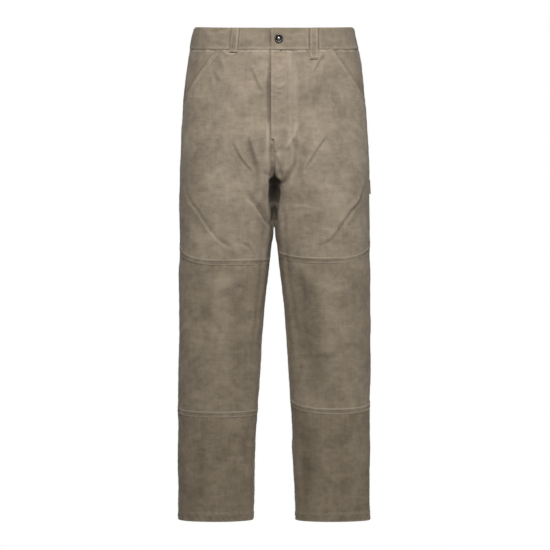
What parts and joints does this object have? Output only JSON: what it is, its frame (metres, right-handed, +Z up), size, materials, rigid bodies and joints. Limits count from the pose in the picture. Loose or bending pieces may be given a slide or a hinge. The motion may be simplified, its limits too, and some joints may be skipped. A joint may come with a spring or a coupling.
{
  "type": "jeans",
  "caption": "Hollow worn-form work jeans in dyed canvas with felled knee seams, slanted front pockets, belt loops, a lapped fly and a waist button.",
  "frame": {"origin": "middle of the waist, level with the waistband's top edge at the side seams, where the wearer's waist holds the garment", "axes": "+Z up, the front faces -Y, +X to the wearer's left"},
  "size_m": [0.3952, 0.2609, 1.0155],
  "materials": {
    "canvas": "matte garment-dyed cotton canvas, olive taupe, worn paler at its edges",
    "facing": "matte garment-dyed cotton canvas, a little darker",
    "seam": "matte garment-dyed cotton canvas, frosted by wear",
    "zip_tape": "matte woven tape",
    "button": "blackened metal with a bright middle"
  },
  "bodies": {
    "root": {"waistband": "canvas", "thigh_front_right": "canvas", "thigh_front_left": "canvas", "knee_front_right": "canvas", "knee_front_left": "canvas", "shin_front_right": "canvas", "shin_front_left": "canvas", "back_right": "canvas", "back_left": "canvas", "pocket_facing_right": "facing", "pocket_facing_left": "facing", "knee_seam_upper_right": "seam", "knee_seam_upper_left": "seam", "knee_seam_lower_right": "seam", "knee_seam_lower_left": "seam", "belt_loop_front_right": "seam", "belt_loop_front_left": "seam", "belt_loop_back_right": "seam", "belt_loop_back_left": "seam", "belt_loop_back_centre": "seam", "side_tab": "seam", "fly_zip": "zip_tape", "waist_button": "button"}
  },
  "joints": []
}
